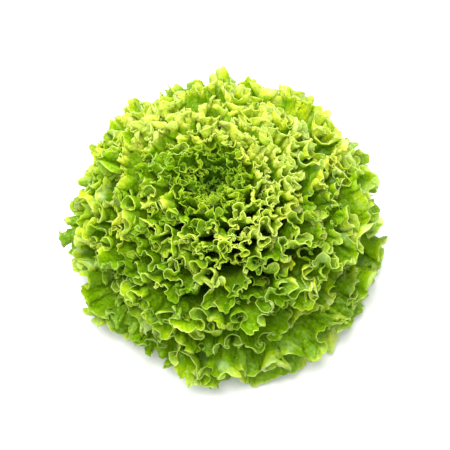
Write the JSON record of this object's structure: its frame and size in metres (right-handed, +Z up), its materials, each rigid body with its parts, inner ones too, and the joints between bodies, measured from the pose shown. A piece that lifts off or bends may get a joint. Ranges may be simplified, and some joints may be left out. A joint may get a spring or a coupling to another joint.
{
  "type": "leaf lettuce",
  "caption": "Round head of green leaf lettuce with tightly frilled leaves spiralling around one short cut stem.",
  "frame": {"origin": "centre of the stem's cut face, which the head stands on", "axes": "+Z up along the stem through the heart; -Y is the side seen first, +X to its right"},
  "size_m": [0.2888, 0.2809, 0.1622],
  "materials": {
    "outer_leaf": "waxy mid green leaf, pale at the edge",
    "middle_leaf": "waxy fresh green leaf, pale at the edge",
    "inner_leaf": "waxy yellow-green leaf, pale at the edge",
    "heart_leaf": "tender light green leaf",
    "stem": "moist pale stem with a lightly browned cut"
  },
  "bodies": {
    "root": {"stem": "stem", "heart_bud": "heart_leaf", "outer_leaf_01": "outer_leaf", "outer_leaf_02": "outer_leaf", "outer_leaf_03": "outer_leaf", "outer_leaf_04": "outer_leaf", "outer_leaf_05": "outer_leaf", "outer_leaf_06": "outer_leaf", "outer_leaf_07": "outer_leaf", "outer_leaf_08": "outer_leaf", "outer_leaf_09": "outer_leaf", "outer_leaf_10": "outer_leaf", "outer_leaf_11": "outer_leaf", "outer_leaf_12": "outer_leaf", "outer_leaf_13": "outer_leaf", "outer_leaf_14": "outer_leaf", "middle_leaf_01": "middle_leaf", "middle_leaf_02": "middle_leaf", "middle_leaf_03": "middle_leaf", "middle_leaf_04": "middle_leaf", "middle_leaf_05": "middle_leaf", "middle_leaf_06": "middle_leaf", "middle_leaf_07": "middle_leaf", "middle_leaf_08": "middle_leaf", "middle_leaf_09": "middle_leaf", "middle_leaf_10": "middle_leaf", "middle_leaf_11": "middle_leaf", "middle_leaf_12": "middle_leaf", "middle_leaf_13": "middle_leaf", "middle_leaf_14": "middle_leaf", "middle_leaf_15": "middle_leaf", "middle_leaf_16": "middle_leaf", "inner_leaf_01": "inner_leaf", "inner_leaf_02": "inner_leaf", "inner_leaf_03": "inner_leaf", "inner_leaf_04": "inner_leaf", "inner_leaf_05": "inner_leaf", "inner_leaf_06": "inner_leaf", "inner_leaf_07": "inner_leaf", "inner_leaf_08": "inner_leaf", "inner_leaf_09": "inner_leaf", "inner_leaf_10": "inner_leaf", "inner_leaf_11": "inner_leaf", "inner_leaf_12": "inner_leaf", "inner_leaf_13": "inner_leaf", "inner_leaf_14": "inner_leaf", "heart_leaf_01": "heart_leaf", "heart_leaf_02": "heart_leaf", "heart_leaf_03": "heart_leaf", "heart_leaf_04": "heart_leaf", "heart_leaf_05": "heart_leaf", "heart_leaf_06": "heart_leaf", "heart_leaf_07": "heart_leaf", "heart_leaf_08": "heart_leaf", "heart_leaf_09": "heart_leaf", "heart_leaf_10": "heart_leaf", "heart_leaf_11": "heart_leaf", "heart_leaf_12": "heart_leaf"}
  },
  "joints": []
}
